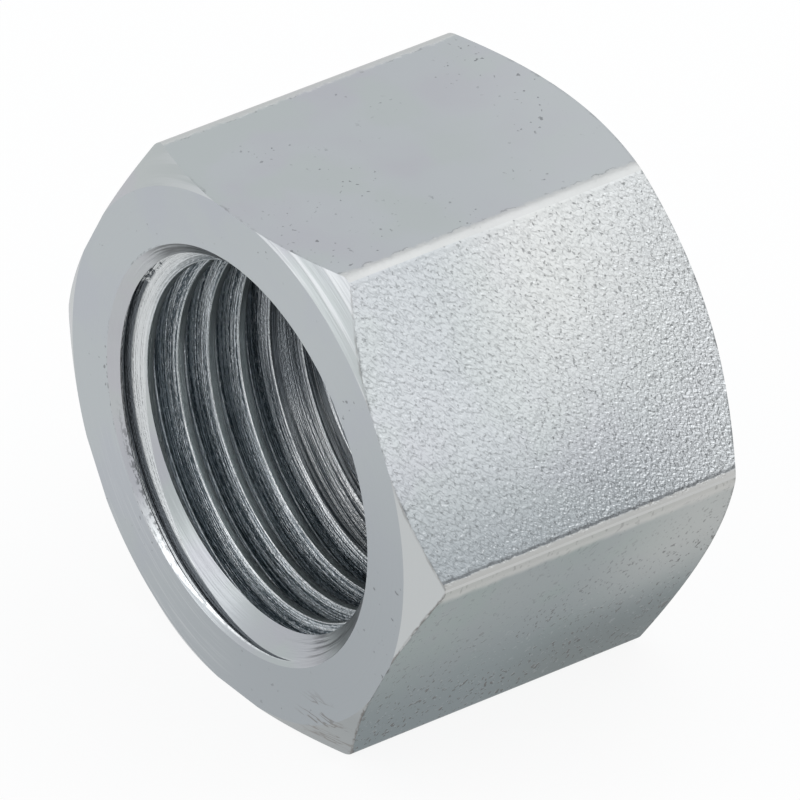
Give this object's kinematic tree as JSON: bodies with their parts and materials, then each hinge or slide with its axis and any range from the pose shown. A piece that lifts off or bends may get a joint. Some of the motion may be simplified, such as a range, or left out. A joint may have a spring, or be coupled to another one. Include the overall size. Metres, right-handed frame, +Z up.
{
  "type": "threaded protection cap",
  "caption": "Hexagonal screw cap, turned from bar, with a countersunk blind threaded hole that closes off a male pipe fitting.",
  "frame": {"origin": "on the surface that the cap lies on, under the middle of its body", "axes": "+Z up from the lower flat of the hexagon, -Y along the thread axis out of the mouth, X across two corners"},
  "size_m": [0.031, 0.0194, 0.027],
  "materials": {
    "plated_steel": "clear zinc plating over turned and drawn steel, satin"
  },
  "bodies": {
    "root": {"cap_body": "plated_steel"}
  },
  "joints": []
}
